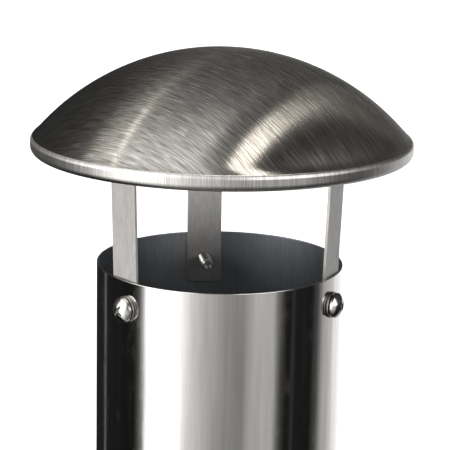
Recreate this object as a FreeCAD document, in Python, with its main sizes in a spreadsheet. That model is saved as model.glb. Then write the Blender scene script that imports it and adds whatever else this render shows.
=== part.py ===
import FreeCAD, Part
import math
import os
import re

import Sketcher

# A free-standing wood-burning garden stove: a welded stainless firebox on four legs, with a glazed
# door, an ash drawer and an air slide, a pyramid hood and a round flue under a domed rain cap.
# Millimetres, +Z up, front towards -Y, origin on the floor under the flue's axis.

DIMENSIONS = [
    # alias, value, what it is
    ("flue_radius", 60, "outer radius of the flue pipe"),
    ("flue_wall", 0.8, "sheet thickness of the flue pipe"),
    ("rim_height", 1120, "height of the open top of the flue"),
    ("joint_height", 945, "where the upper pipe slides over the lower one"),
    ("socket_depth", 40, "length of the slide joint"),
    ("slide_gap", 0.1, "radial play in the slide joints"),
    ("flue_foot", 766, "lower end of the flue, on the spigot's flange"),
    ("neck_root", 3, "depth below the joint where the neck's bore begins to widen"),
    ("neck_slope", 2, "height over which it widens"),
    ("dome_radius", 118.85, "outer spherical radius of the rain cap"),
    ("dome_top", 104.2, "top of the rain cap above the flue's rim"),
    ("dome_edge", 90.6, "radius where the dome turns into its shoulder"),
    ("crease_radius", 91.35, "radius of the crease between shoulder and rolled edge"),
    ("crease_drop", 61.3, "height of the crease above the flue's rim"),
    ("cap_radius", 92.05, "outer radius of the rolled edge"),
    ("edge_top", 59.3, "top of the upright part of the rolled edge"),
    ("edge_bottom", 54.6, "underside of the rolled edge above the flue's rim"),
    ("curl_radius", 2.6, "radius that the edge is curled under with"),
    ("curl_reach", 3.4, "how far the edge is turned inwards"),
    ("cap_sheet", 1, "sheet thickness of the rain cap"),
    ("strap_bearing", 58, "angle of the front cap straps from straight ahead"),
    ("strap_width", 17.6, "width of a cap strap"),
    ("strap_sheet", 1.5, "thickness of a cap strap"),
    ("strap_face", 58.4, "distance of a strap's outer face from the flue's axis"),
    ("strap_foot", 26.3, "length of strap below the rim"),
    ("strap_flare", 2.96, "how far a strap leans out at its bend"),
    ("strap_bend", 85.4, "height of the bend above the rim"),
    ("tab_run", 13.3, "inward run of the tab that is welded to the dome"),
    ("tab_rise", 6.9, "rise of that tab"),
    ("screw_bearing", 55, "angle of the front strap screws from straight ahead"),
    ("screw_drop", 13.6, "depth of the strap screws below the rim"),
    ("screw_radius", 3, "thread radius of the strap screws"),
    ("screw_length", 20, "length of the strap screws under the head"),
    ("head_radius", 6, "head radius of the strap screws"),
    ("head_side", 1.3, "straight side of a screw head"),
    ("head_height", 4.1, "height of a screw head"),
    ("recess_arm", 1.2, "width of the recess's arms"),
    ("recess_reach", 3.1, "length of one arm from the middle"),
    ("recess_depth", 2.4, "depth of the recess"),
    ("cup_depth", 1.3, "depth of the cup in a screw's end"),
    ("cup_floor", 0.6, "radius of the cup's flat bottom"),
    ("cup_lip", 0.7, "width of the lip round the cup"),
    ("tip_chamfer", 0.5, "chamfer round a screw's end"),
    ("washer_radius", 6.3, "outer radius of the flat washers"),
    ("washer_sheet", 0.9, "thickness of the flat washers"),
    ("lock_radius", 4.9, "outer radius of the lock washers"),
    ("lock_sheet", 0.8, "thickness of the lock washers"),
    ("bore_play", 0.15, "radial play of a screw in its hole"),
    ("box_half", 170, "half the width of the square firebox"),
    ("box_bottom", 320, "underside of the firebox"),
    ("box_top", 640, "top edge of the firebox walls"),
    ("plate", 2, "thickness of the firebox sheet"),
    ("hood_top", 760, "top edge of the hood panels"),
    ("hood_half", 66, "half the width of the hood's open top"),
    ("hood_slant", 2.6, "sheet thickness of the hood measured level"),
    ("cover_plate", 3, "thickness of the plate that closes the hood"),
    ("cover_bore", 56, "radius of the hole in that plate"),
    ("spigot_flange", 66, "radius of the spigot's flange"),
    ("spigot_height", 46, "length of the spigot above its flange"),
    ("spigot_wall", 1.5, "wall of the spigot"),
    ("collar_height", 22, "height of the collar at the foot of the flue"),
    ("collar_wall", 3.5, "wall of that collar"),
    ("collar_round", 2, "rounding of the collar's upper edge"),
    ("grub_radius", 2.5, "radius of the set screws in the collar"),
    ("grub_length", 6.5, "length of the set screws"),
    ("grub_play", 0.1, "radial play of the set screws"),
    ("grub_gap", 0.05, "gap between the set screws and the flue"),
    ("deck_height", 384, "underside of the deck that carries the grate"),
    ("grate_half", 92, "half the width of the opening under the grate"),
    ("grate_lap", 12, "how far the grate laps over the deck"),
    ("grate_depth", 10, "thickness of the cast grate"),
    ("grate_rim", 8, "how far the slots end short of the opening under the grate"),
    ("grate_slot", 9, "width of a slot in the grate"),
    ("slot_bulge", 1.02, "radius of a slot's ends as a share of half its width"),
    ("grate_pitch", 20, "spacing of the slots"),
    ("grate_slots", 9, "number of slots"),
    ("brick", 25, "thickness of the firebricks"),
    ("brick_top", 604, "top of the firebricks"),
    ("brick_reach", 128, "how far the side bricks reach in front of the flue's axis"),
    ("brick_gap", 0.5, "gap round the firebricks"),
    ("door_half", 132, "half the width of the door plate"),
    ("door_bottom", 398, "lower edge of the door plate"),
    ("door_top", 626, "upper edge of the door plate"),
    ("door_plate", 3, "thickness of the door plate"),
    ("door_front", 181, "distance of the door's face from the flue's axis"),
    ("doorway_half", 120, "half the width of the doorway"),
    ("doorway_bottom", 408, "sill of the doorway"),
    ("doorway_top", 616, "head of the doorway"),
    ("window_half", 90, "half the width of the window"),
    ("window_bottom", 438, "lower edge of the window"),
    ("window_top", 590, "upper edge of the window"),
    ("window_lap", 9, "how far the glass laps behind the door plate"),
    ("glass", 4, "thickness of the ceramic glass"),
    ("clip_length", 15, "length of a glass clip"),
    ("clip_width", 14, "width of a glass clip"),
    ("clip_sheet", 1.5, "sheet thickness of a glass clip"),
    ("clip_stand", 8, "how far a clip stands out past the glass"),
    ("clip_inset", 20, "distance of a clip from the window's upper or lower edge"),
    ("seal", 9, "width of the rope seal round the door"),
    ("seal_gap", 0.4, "gap that is left between the seal and the front plate"),
    ("seal_inset", 1, "distance of the seal from the door plate's edge"),
    ("hinge_side", 142, "distance of the hinge axis to the left of the flue's axis"),
    ("hinge_front", 182.5, "distance of the hinge axis in front of the flue's axis"),
    ("hinge_radius", 7, "outer radius of the hinge knuckles"),
    ("hinge_pin", 4, "radius of the hinge pins"),
    ("hinge_height", 14, "height of a fixed knuckle"),
    ("pin_end", 3, "how far a hinge pin stands out above the door knuckle's foot and height"),
    ("arm_sheet", 4, "thickness of the arm that joins a door knuckle to the door"),
    ("arm_length", 30, "length of that arm from the hinge axis"),
    ("eye_height", 18, "height of a door knuckle"),
    ("hinge_low", 438, "foot of the lower hinge"),
    ("hinge_high", 556, "foot of the upper hinge"),
    ("running_play", 0.06, "radial play of the hinge pins and the latch spindle"),
    ("face_play", 0.4, "play between faces that slide past each other"),
    ("latch_side", 112, "distance of the latch to the right of the flue's axis"),
    ("latch_height", 512, "height of the latch"),
    ("spindle", 5, "radius of the latch spindle"),
    ("lever_front", 193, "distance of the lever in front of the flue's axis"),
    ("lever_length", 86, "length of the latch lever"),
    ("lever_radius", 4, "radius of the lever"),
    ("grip_radius", 9, "radius of the lever's wooden grip"),
    ("grip_length", 62, "length of the grip"),
    ("grip_round", 2.5, "rounding of the grip's ends"),
    ("grip_end", 2, "how far the grip stands out past the lever's end"),
    ("spindle_end", 1, "how far the spindle stands out of the lever's hub"),
    ("hub_radius", 10, "radius of the lever's hub"),
    ("hub_length", 10, "length of the lever's hub"),
    ("catch_front", 160, "distance of the catch's rear face in front of the flue's axis"),
    ("catch_sheet", 4, "thickness of the catch"),
    ("catch_width", 12, "width of the catch"),
    ("catch_length", 32, "length of the catch"),
    ("catch_heel", 8, "how far the catch reaches past the spindle's axis at its short end"),
    ("keeper_width", 16, "width of the latch keeper"),
    ("keeper_sheet", 2.5, "thickness of the latch keeper"),
    ("keeper_height", 28, "height of the latch keeper"),
    ("keeper_inset", 0.5, "distance of the keeper from the doorway's edge"),
    ("drawer_half", 98, "half the width of the ash drawer"),
    ("drawer_bottom", 323, "underside of the ash drawer"),
    ("drawer_top", 366, "upper edge of the ash drawer"),
    ("drawer_depth", 236, "length of the ash drawer"),
    ("drawer_sheet", 1.5, "sheet thickness of the ash drawer"),
    ("drawer_front", 175, "distance of the drawer's face from the flue's axis"),
    ("front_sheet", 3, "thickness of the drawer's front"),
    ("front_lap", 10, "how far the front laps over the opening at each side"),
    ("front_top", 378, "upper edge of the drawer's front"),
    ("front_step", 2, "how far the front's inner block stays inside the tray's outline"),
    ("pull_half", 44, "half the width of the drawer's pull"),
    ("pull_reach", 18, "how far the pull stands out"),
    ("pull_sheet", 2, "sheet thickness of the pull"),
    ("pull_top", 375, "upper face of the pull"),
    ("pull_drop", 9, "height of the pull with its turned-down edge"),
    ("runner_width", 12, "width of a drawer runner"),
    ("runner_sheet", 2, "sheet thickness of a drawer runner"),
    ("runner_height", 14, "height of a drawer runner"),
    ("slot_half", 104, "half the width of the opening for the ash drawer"),
    ("slot_top", 370, "head of that opening"),
    ("air_slot", 8, "width of an air slot"),
    ("air_pitch", 24, "spacing of the air slots"),
    ("air_slots", 5, "number of air slots"),
    ("air_low", 335, "foot of the air slots"),
    ("air_tall", 20, "height of the air slots"),
    ("slide_half", 68, "half the length of the air slide"),
    ("slide_sheet", 2, "thickness of the air slide"),
    ("slide_lap", 5, "how far the slide laps over the slots above and below"),
    ("peg_radius", 2.5, "radius of the slide's peg"),
    ("peg_length", 6, "length of the slide's peg"),
    ("peg_root", 2.1, "distance of the peg's root from the drawer's face"),
    ("knob_inset", 4, "distance of the knob's axis from the slide's end"),
    ("knob_root", 4.2, "distance of the knob's rear face from the drawer's face"),
    ("socket_play", 0.3, "gap between the peg's end and the bottom of the knob's socket"),
    ("knob_radius", 8, "radius of the wooden knob"),
    ("knob_length", 10, "length of the wooden knob"),
    ("guide_end", 8, "how far the guides run on past the slide's end"),
    ("guide_height", 4, "height of a guide's root"),
    ("guide_reach", 4.2, "how far a guide stands out from the drawer's face"),
    ("guide_lip", 1.2, "thickness of a guide's lip"),
    ("guide_cover", 3, "height of a guide's lip"),
    ("leg_place", 150, "distance of a leg's centre line from both middle planes"),
    ("leg_width", 30, "width of the square legs"),
    ("leg_wall", 2, "wall of the legs"),
    ("base_half", 240, "half the width of the base plate"),
    ("base_corner", 12, "corner radius of the base plate"),
    ("base_bottom", 8, "underside of the base plate"),
    ("base_plate", 4, "thickness of the base plate"),
    ("foot_place", 210, "distance of a foot from both middle planes"),
    ("foot_radius", 17, "radius of a rubber foot"),
    ("foot_taper", 2, "how much smaller a foot is at the floor"),
]

doc = FreeCAD.newDocument("GardenStove")
sheet = doc.addObject("Spreadsheet::Sheet", "Dims")
for row, (alias, value, meaning) in enumerate(DIMENSIONS, start=1):
    sheet.set(f"A{row}", meaning)
    sheet.set(f"B{row}", str(value))
    sheet.setAlias(f"B{row}", alias)
doc.recompute()

ALIAS = re.compile(r"\b(" + "|".join(alias for alias, _, _ in DIMENSIONS) + r")\b")
ACROSS, FORWARD, UP = FreeCAD.Vector(1, 0, 0), FreeCAD.Vector(0, -1, 0), FreeCAD.Vector(0, 0, 1)
LAYER = 50  # more than any sheet or piece that a tool has to pass right through
nodes = []


def size(expression):
    """The value of an expression of sheet aliases, in millimetres or degrees."""
    return float(sheet.evalExpression(str(expression)))


def bind(piece, **expressions):
    """Ties properties of an object to expressions of sheet aliases; x, y and z are its place."""
    for name, expression in expressions.items():
        path = f"Placement.Base.{name}" if name in "xyz" else name
        piece.setExpression(path, ALIAS.sub(r"Dims.\1", str(expression)))
    return piece


def node(name, piece):
    """Registers an object as the sub-part of that name."""
    piece.Label = name
    nodes.append(piece)
    return piece


# ---------------------------------------------------------------- primitives and booleans


def box(low, lengths):
    """A block from its lowest corner and its three lengths."""
    piece = doc.addObject("Part::Box", "Block")
    bind(piece, Length=lengths[0], Width=lengths[1], Height=lengths[2])
    return bind(piece, x=low[0], y=low[1], z=low[2])


def middle_box(half, y_low, y_length, z_low, z_high):
    """A block centred on the middle plane, from its half width and its levels."""
    lengths = (f"2 * ({half})", y_length, f"({z_high}) - ({z_low})")
    return box((f"-({half})", y_low, z_low), lengths)


def rod(radius, length, place, along=UP):
    """A cylinder from the centre of its first end, along a direction."""
    piece = doc.addObject("Part::Cylinder", "Rod")
    piece.Placement.Rotation = FreeCAD.Rotation(UP, along)
    bind(piece, Radius=radius, Height=length)
    return bind(piece, x=place[0], y=place[1], z=place[2])


def radial_rod(bearing, radius, start, length, z):
    """A cylinder that points away from the flue's axis on a bearing from straight ahead."""
    place = (f"({start}) * sin({bearing})", f"-({start}) * cos({bearing})", z)
    angle = math.radians(size(bearing))
    return rod(radius, length, place, FreeCAD.Vector(math.sin(angle), -math.cos(angle), 0))


def cut(piece, *tools):
    """A piece with tools taken away from it."""
    result = doc.addObject("Part::Cut", "Cut")
    result.Base = piece
    result.Tool = tools[0] if len(tools) == 1 else group(*tools)
    return result


def fuse(*pieces):
    """Pieces welded into one solid."""
    result = doc.addObject("Part::MultiFuse", "Weld")
    result.Shapes = list(pieces)
    result.Refine = True
    return result


def group(*pieces):
    """Separate solids that share one node."""
    result = doc.addObject("Part::Compound", "Group")
    result.Links = list(pieces)
    return result


# ---------------------------------------------------------------- sketches and bodies


def new_sketch(body, plane):
    """A sketch on one of the body's own origin planes."""
    sketch = body.newObject("Sketcher::SketchObject", "Profile")
    support = next(item for item in body.Origin.OriginFeatures if item.Role == plane)
    sketch.AttachmentSupport = [(support, "")]
    sketch.MapMode = "FlatFace"
    return sketch


def pin_point(sketch, edge, end, corner):
    """Fixes one end of an edge at a pair of expressions measured from the sketch's origin."""
    for kind, expression in zip(("DistanceX", "DistanceY"), corner):
        rule = Sketcher.Constraint(kind, -1, 1, edge, end, size(expression))
        index = sketch.addConstraint(rule)
        sketch.setExpression(f"Constraints[{index}]", ALIAS.sub(r"Dims.\1", str(expression)))


def outline(sketch, corners, arcs=None):
    """A closed outline through corners. arcs gives the radius of the edge that starts at a corner:
    positive turns left on the way round, negative turns right."""
    arcs = arcs or {}
    points = [FreeCAD.Vector(size(x), size(y), 0) for x, y in corners]
    ends = []
    for index, start in enumerate(points):
        stop = points[(index + 1) % len(points)]
        if index not in arcs:
            ends.append((sketch.addGeometry(Part.LineSegment(start, stop), False), 1, 2))
            continue
        radius = size(arcs[index])
        chord = stop - start
        side = FreeCAD.Vector(-chord.y, chord.x, 0).normalize() * math.copysign(1, radius)
        rise = math.sqrt(radius * radius - chord.Length * chord.Length / 4)
        centre = (start + stop) * 0.5 + side * rise
        first, last = (start, stop) if radius > 0 else (stop, start)
        angles = [math.atan2(point.y - centre.y, point.x - centre.x) for point in (first, last)]
        arc = Part.ArcOfCircle(Part.Circle(centre, UP, abs(radius)), *angles)
        edge = sketch.addGeometry(arc, False)
        rule = sketch.addConstraint(Sketcher.Constraint("Radius", edge, abs(radius)))
        sketch.setExpression(f"Constraints[{rule}]", ALIAS.sub(r"Dims.\1", f"abs({arcs[index]})"))
        ends.append((edge, 1, 2) if radius > 0 else (edge, 2, 1))
    for index, corner in enumerate(corners):
        edge, start, _ = ends[index]
        previous, _, stop = ends[index - 1]
        sketch.addConstraint(Sketcher.Constraint("Coincident", previous, stop, edge, start))
        pin_point(sketch, edge, start, corner)


def circle(sketch, radius, centre=("0", "0")):
    """A circle of a bound radius at a bound centre."""
    middle = FreeCAD.Vector(size(centre[0]), size(centre[1]), 0)
    edge = sketch.addGeometry(Part.Circle(middle, UP, size(radius)), False)
    rule = sketch.addConstraint(Sketcher.Constraint("Radius", edge, size(radius)))
    sketch.setExpression(f"Constraints[{rule}]", ALIAS.sub(r"Dims.\1", str(radius)))
    pin_point(sketch, edge, 3, centre)


def turned(corners, arcs=None):
    """A body of revolution from a profile of distances from its axis and heights."""
    body = doc.addObject("PartDesign::Body", "Body")
    sketch = new_sketch(body, "XZ_Plane")
    outline(sketch, corners, arcs)
    turn = body.newObject("PartDesign::Revolution", "Turn")
    turn.Profile = sketch
    turn.ReferenceAxis = (sketch, ["V_Axis"])
    turn.Angle = 360
    return body


def padded(body, sketch, length):
    """Raises a sketch equally to both sides of its plane."""
    pad = body.newObject("PartDesign::Pad", "Pad")
    pad.Profile = sketch
    pad.SideType = "Symmetric"
    bind(pad, Length=length)
    return body


def bar(corners, width, arcs=None):
    """A bar of one outline, drawn in the upright plane through X, and centred on that plane."""
    body = doc.addObject("PartDesign::Body", "Body")
    sketch = new_sketch(body, "XZ_Plane")
    outline(sketch, corners, arcs)
    return padded(body, sketch, width)


def tube(outer, wall, length):
    """A round tube that stands on the level plane."""
    body = doc.addObject("PartDesign::Body", "Body")
    sketch = new_sketch(body, "XY_Plane")
    circle(sketch, outer)
    circle(sketch, f"{outer} - {wall}")
    pad = body.newObject("PartDesign::Pad", "Pad")
    pad.Profile = sketch
    bind(pad, Length=length)
    return body


# ---------------------------------------------------------------- rain cap and flue

BEARINGS = {"left": -1, "right": 1, "rear": 0}


def bearing_of(side, alias):
    """The bearing of one of the three straps or screws, as an expression."""
    return "180" if side == "rear" else f"{BEARINGS[side]} * {alias}"


def rain_cap():
    """A spun dome with a crease and a rolled edge, open underneath."""
    inner = "(dome_radius - cap_sheet)"
    sphere = "(dome_top - dome_radius)"
    corners = [
        ("0", "dome_top"),
        ("0", "dome_top - cap_sheet"),
        ("dome_edge - cap_sheet", f"{sphere} + sqrt({inner}^2 - (dome_edge - cap_sheet)^2)"),
        ("cap_radius - cap_sheet", "edge_top - cap_sheet"),
        ("cap_radius - cap_sheet", "edge_bottom + curl_radius"),
        ("cap_radius - curl_radius", "edge_bottom + cap_sheet"),
        ("cap_radius - curl_reach", "edge_bottom + cap_sheet"),
        ("cap_radius - curl_reach", "edge_bottom"),
        ("cap_radius - curl_radius", "edge_bottom"),
        ("cap_radius", "edge_bottom + curl_radius"),
        ("cap_radius", "edge_top"),
        ("crease_radius", "crease_drop"),
        ("dome_edge", f"{sphere} + sqrt(dome_radius^2 - dome_edge^2)"),
    ]
    arcs = {
        1: f"-{inner}",
        4: "-(curl_radius - cap_sheet)",
        8: "curl_radius",
        10: "2.5 * cap_sheet",
        11: "3 * cap_sheet",
        12: "dome_radius",
    }
    return node("rain_cap", bind(turned(corners, arcs), z="rim_height"))


def cap_strap(side):
    """A flat strap from inside the flue up to the tab that is spot-welded under the dome."""
    lean = "strap_flare / strap_bend"
    tab = "sqrt(tab_run^2 + tab_rise^2)"
    corners = [
        ("strap_face", "-strap_foot"),
        ("strap_face", "0"),
        ("strap_face + strap_flare", "strap_bend"),
        ("strap_face + strap_flare - tab_run", "strap_bend + tab_rise"),
        (f"strap_face + strap_flare - tab_run - strap_sheet * tab_rise / {tab}",
         f"strap_bend + tab_rise - strap_sheet * tab_run / {tab}"),
        (f"strap_face + strap_flare - strap_sheet - {lean}",
         f"strap_bend - strap_sheet * ({tab} - tab_rise) / tab_run"),
        ("strap_face - strap_sheet", "0"),
        ("strap_face - strap_sheet", "-strap_foot"),
    ]
    strap = bar(corners, "strap_width")
    angle = size(bearing_of(side, "strap_bearing")) - 90
    strap.Placement.Rotation = FreeCAD.Rotation(UP, angle)
    bind(strap, z="rim_height")
    hole = radial_rod(bearing_of(side, "screw_bearing"), "screw_radius + bore_play",
                      "strap_face - 8 * strap_sheet", "16 * strap_sheet", "rim_height - screw_drop")
    return node(f"cap_strap_{side}", cut(strap, hole))


def set_radial(piece, side, distance):
    """Points a turned fastener away from the flue's axis, with its origin at that distance."""
    bearing = bearing_of(side, "screw_bearing")
    angle = math.radians(size(bearing))
    outwards = FreeCAD.Vector(math.sin(angle), -math.cos(angle), 0)
    piece.Placement.Rotation = FreeCAD.Rotation(UP, outwards)
    return bind(piece, x=f"({distance}) * sin({bearing})", y=f"-({distance}) * cos({bearing})",
                z="rim_height - screw_drop")


def strap_screw(side):
    """A pan-head machine screw with a cross recess and a cupped end."""
    corners = [
        ("0", "cup_depth - screw_length"),
        ("cup_floor", "cup_depth - screw_length"),
        ("screw_radius - tip_chamfer - cup_lip", "-screw_length"),
        ("screw_radius - tip_chamfer", "-screw_length"),
        ("screw_radius", "1.2 * tip_chamfer - screw_length"),
        ("screw_radius", "0"),
        ("head_radius", "0"),
        ("head_radius", "head_side"),
        ("0", "head_height"),
    ]
    crown = "(head_height - head_side)"
    body = turned(corners, {7: f"(head_radius^2 + {crown}^2) / (2 * {crown})"})
    low = "head_height - recess_depth"
    recess = fuse(box(("-recess_reach", "-recess_arm / 2", low),
                      ("2 * recess_reach", "recess_arm", "recess_depth")),
                  box(("-recess_arm / 2", "-recess_reach", low),
                      ("recess_arm", "2 * recess_reach", "recess_depth")))
    return node(f"strap_screw_{side}",
                set_radial(cut(body, recess), side, "flue_radius + washer_sheet + lock_sheet"))


def ring(outer, inner, thickness):
    """A flat ring that stands on the level plane."""
    return turned([(inner, "0"), (outer, "0"), (outer, thickness), (inner, thickness)])


def strap_washers():
    """Under each screw head a flat washer, then a smaller lock washer."""
    bore = "screw_radius + bore_play"
    flat = [set_radial(ring("washer_radius", bore, "washer_sheet"), side, "flue_radius")
            for side in BEARINGS]
    lock = [set_radial(ring("lock_radius", bore, "lock_sheet"), side, "flue_radius + washer_sheet")
            for side in BEARINGS]
    node("strap_flat_washers", group(*flat))
    node("strap_lock_washers", group(*lock))


def flue_pipes():
    """The lower pipe's necked end slides into the upper pipe, which has the strap holes."""
    upper = bind(tube("flue_radius", "flue_wall", "rim_height - joint_height"), z="joint_height")
    holes = [radial_rod(bearing_of(side, "screw_bearing"), "screw_radius + bore_play",
                        "flue_radius - 6 * flue_wall", "12 * flue_wall", "rim_height - screw_drop")
             for side in BEARINGS]
    node("flue_pipe_upper", cut(upper, *holes))
    neck = "(flue_radius - flue_wall - slide_gap)"
    corners = [
        ("flue_radius - flue_wall", "flue_foot"),
        ("flue_radius", "flue_foot"),
        ("flue_radius", "joint_height"),
        (neck, "joint_height"),
        (neck, "joint_height + socket_depth"),
        (f"{neck} - flue_wall", "joint_height + socket_depth"),
        (f"{neck} - flue_wall", "joint_height - neck_root"),
        ("flue_radius - flue_wall", "joint_height - neck_root - neck_slope"),
    ]
    node("flue_pipe_lower", turned(corners))


def flue_foot():
    """The spigot that the flue stands on, and the collar that three set screws hold round it."""
    outer = "(flue_radius - flue_wall - slide_gap)"
    inner = f"({outer} - spigot_wall)"
    corners = [
        (inner, "0"),
        ("spigot_flange", "0"),
        ("spigot_flange", "flue_foot - hood_top - cover_plate"),
        (outer, "flue_foot - hood_top - cover_plate"),
        (outer, "spigot_height"),
        (inner, "spigot_height"),
    ]
    node("flue_spigot", bind(turned(corners), z="hood_top + cover_plate"))
    bore = "flue_radius + slide_gap"
    rim = "flue_radius + collar_wall"
    collar = turned([(bore, "0"), (rim, "0"), (rim, "collar_height - collar_round"),
                     (f"{rim} - collar_round", "collar_height"), (bore, "collar_height")],
                    {2: "collar_round"})
    bind(collar, z="flue_foot")
    level = "flue_foot + collar_height / 2"
    thirds = (0, 120, 240)
    holes = [radial_rod(bearing, "grub_radius + grub_play", "flue_radius - flue_wall",
                        "3 * collar_wall", level) for bearing in thirds]
    node("flue_collar", cut(collar, *holes))
    screws = [radial_rod(bearing, "grub_radius", "flue_radius + grub_gap", "grub_length", level)
              for bearing in thirds]
    node("collar_set_screws", group(*screws))


# ---------------------------------------------------------------- hood and firebox


def hood():
    """Four mitred panels, and the plate with a round hole that closes their top."""
    rise = "hood_top - box_top"
    section = [
        ("box_half", "0"),
        ("hood_half", rise),
        ("hood_half - hood_slant", rise),
        ("box_half - hood_slant", "0"),
    ]
    for angle, side in enumerate(("right", "rear", "left", "front")):
        panel = bar(section, "2 * box_half")
        mitre = new_sketch(panel, "XY_Plane")
        for way in ("", "-"):
            outline(mitre, [("0", "0"), ("1.1 * box_half", f"{way}1.1 * box_half"),
                            ("0", f"{way}1.1 * box_half")])
        pocket = panel.newObject("PartDesign::Pocket", "Mitre")
        pocket.Profile = mitre
        pocket.Type = 1
        pocket.SideType = "Symmetric"
        panel.Placement.Rotation = FreeCAD.Rotation(UP, 90 * angle)
        node(f"hood_panel_{side}", bind(panel, z="box_top"))
    plate = middle_box("hood_half", "-hood_half", "2 * hood_half", "hood_top",
                       "hood_top + cover_plate")
    hole = rod("cover_bore", LAYER, ("0", "0", "hood_top - cover_plate"))
    node("hood_top_plate", cut(plate, hole))


def firebox():
    """Side, rear and bottom plates, the pierced front plate and the deck for the grate."""
    tall = "box_top - box_bottom - plate"
    deep = "2 * (box_half - plate)"
    low = "box_bottom + plate"
    node("firebox_panel_left", box(("-box_half", "plate - box_half", low), ("plate", deep, tall)))
    node("firebox_panel_right",
         box(("box_half - plate", "plate - box_half", low), ("plate", deep, tall)))
    node("firebox_panel_rear", middle_box("box_half", "box_half - plate", "plate", low, "box_top"))
    node("firebox_bottom",
         middle_box("box_half", "-box_half", "2 * box_half", "box_bottom", low))
    front = middle_box("box_half", "-box_half", "plate", low, "box_top")
    doorway = middle_box("doorway_half", "-box_half - plate", "3 * plate",
                         "doorway_bottom", "doorway_top")
    slot = middle_box("slot_half", "-box_half - plate", "3 * plate",
                      "box_bottom + plate / 2", "slot_top")
    node("firebox_front", cut(front, doorway, slot))
    deck = middle_box("box_half - plate", "plate - box_half", deep,
                      "deck_height", "deck_height + plate")
    opening = middle_box("grate_half", "-grate_half", "2 * grate_half",
                         "deck_height - plate", "deck_height + 2 * plate")
    node("firebox_deck", cut(deck, opening))


def fire_grate():
    """A cast grate with rounded slots that run front to back."""
    half = "(grate_half + grate_lap)"
    body = doc.addObject("PartDesign::Body", "Body")
    sketch = new_sketch(body, "XY_Plane")
    outline(sketch, [(f"-{half}", f"-{half}"), (half, f"-{half}"), (half, half), (f"-{half}", half)])
    pad = body.newObject("PartDesign::Pad", "Pad")
    pad.Profile = sketch
    bind(pad, Length="grate_depth")
    reach = "(grate_half - grate_rim)"
    end = "(grate_slot / 2)"
    slots = new_sketch(body, "XY_Plane")
    first = "(-grate_pitch * (grate_slots - 1) / 2)"
    corners = [(f"{first} - {end}", f"-{reach}"), (f"{first} + {end}", f"-{reach}"),
               (f"{first} + {end}", reach), (f"{first} - {end}", reach)]
    outline(slots, corners, {0: f"slot_bulge * {end}", 2: f"slot_bulge * {end}"})
    pocket = body.newObject("PartDesign::Pocket", "Slot")
    pocket.Profile = slots
    pocket.Type = 1
    pocket.Reversed = True
    doc.recompute()
    pattern = body.newObject("PartDesign::LinearPattern", "Slots")
    pattern.Originals = [pocket]
    pattern.Direction = (slots, ["H_Axis"])
    bind(pattern, Length="grate_pitch * (grate_slots - 1)", Occurrences="grate_slots")
    body.Tip = pattern
    node("fire_grate", bind(body, z="deck_height + plate"))


def firebricks():
    """Three loose firebricks that stand on the deck against the walls."""
    low = "deck_height + plate"
    inside = "(box_half - plate)"
    tall = "brick_top - deck_height - plate"
    deep = f"{inside} - brick + brick_reach"
    bricks = {
        "left": box((f"brick_gap - {inside}", "-brick_reach", low), ("brick", deep, tall)),
        "right": box((f"{inside} - brick - brick_gap", "-brick_reach", low), ("brick", deep, tall)),
        "rear": middle_box(f"{inside} - brick_gap", f"{inside} - brick + brick_gap",
                           "brick - 2 * brick_gap", low, "brick_top"),
    }
    for side, brick in bricks.items():
        node(f"firebrick_{side}", brick)


# ---------------------------------------------------------------- door


def door():
    """The door plate, its ceramic window with four clips, and the rope seal."""
    face = "-door_front"
    back = "(door_plate - door_front)"
    plate = middle_box("door_half", face, "door_plate", "door_bottom", "door_top")
    window = middle_box("window_half", f"{face} - door_plate", "3 * door_plate",
                        "window_bottom", "window_top")
    spindle_hole = rod("spindle + running_play", LAYER, ("latch_side", "-lever_front",
                                                         "latch_height"), -FORWARD)
    node("door_plate", cut(plate, window, spindle_hole))
    node("door_glass", middle_box("window_half + window_lap", back, "glass",
                                  "window_bottom - window_lap", "window_top + window_lap"))
    clips = []
    for level in ("window_bottom + clip_inset", "window_top - clip_inset - clip_width"):
        for low, toe in (("-window_half - window_lap - clip_stand", "0"),
                         ("window_half + window_lap + clip_stand - clip_length",
                          "clip_length - clip_sheet")):
            arm = box((low, f"{back} + glass", level), ("clip_length", "clip_sheet", "clip_width"))
            leg = box((f"{low} + {toe}", back, level),
                      ("clip_sheet", "glass + clip_sheet / 3", "clip_width"))
            clips.append(fuse(arm, leg))
    node("glass_clips", group(*clips))
    outer = middle_box("door_half - seal_inset", back,
                       "door_front - door_plate - box_half - seal_gap",
                       "door_bottom + seal_inset", "door_top - seal_inset")
    inner = middle_box("door_half - seal_inset - seal", f"{back} - seal", "3 * seal",
                       "door_bottom + seal_inset + seal", "door_top - seal_inset - seal")
    node("door_seal", cut(outer, inner))


def hinge(name, foot):
    """A lift-off hinge: a fixed knuckle with its leaf, its pin, and the door's knuckle above."""
    axis = ("-hinge_side", "-hinge_front")
    leaf = box(("-hinge_side - hinge_radius", "-hinge_front", foot),
               ("2 * hinge_radius", "hinge_front - box_half", "hinge_height"))
    knuckle = rod("hinge_radius", "hinge_height", (*axis, foot))
    bore = rod("hinge_pin", LAYER, (*axis, f"{foot} - hinge_pin"))
    node(f"hinge_bracket_{name}", cut(fuse(knuckle, leaf), bore))
    node(f"hinge_pin_{name}", rod("hinge_pin", "hinge_height + eye_height + pin_end", (*axis, foot)))
    base = f"{foot} + hinge_height + face_play"
    arm = box(("-hinge_side", "-door_front - arm_sheet", base),
              ("arm_length", "arm_sheet", "eye_height"))
    eye = rod("hinge_radius", "eye_height", (*axis, base))
    eye_bore = rod("hinge_pin + running_play", LAYER, (*axis, f"{base} - hinge_pin"))
    node(f"hinge_eye_{name}", cut(fuse(eye, arm), eye_bore))


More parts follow.
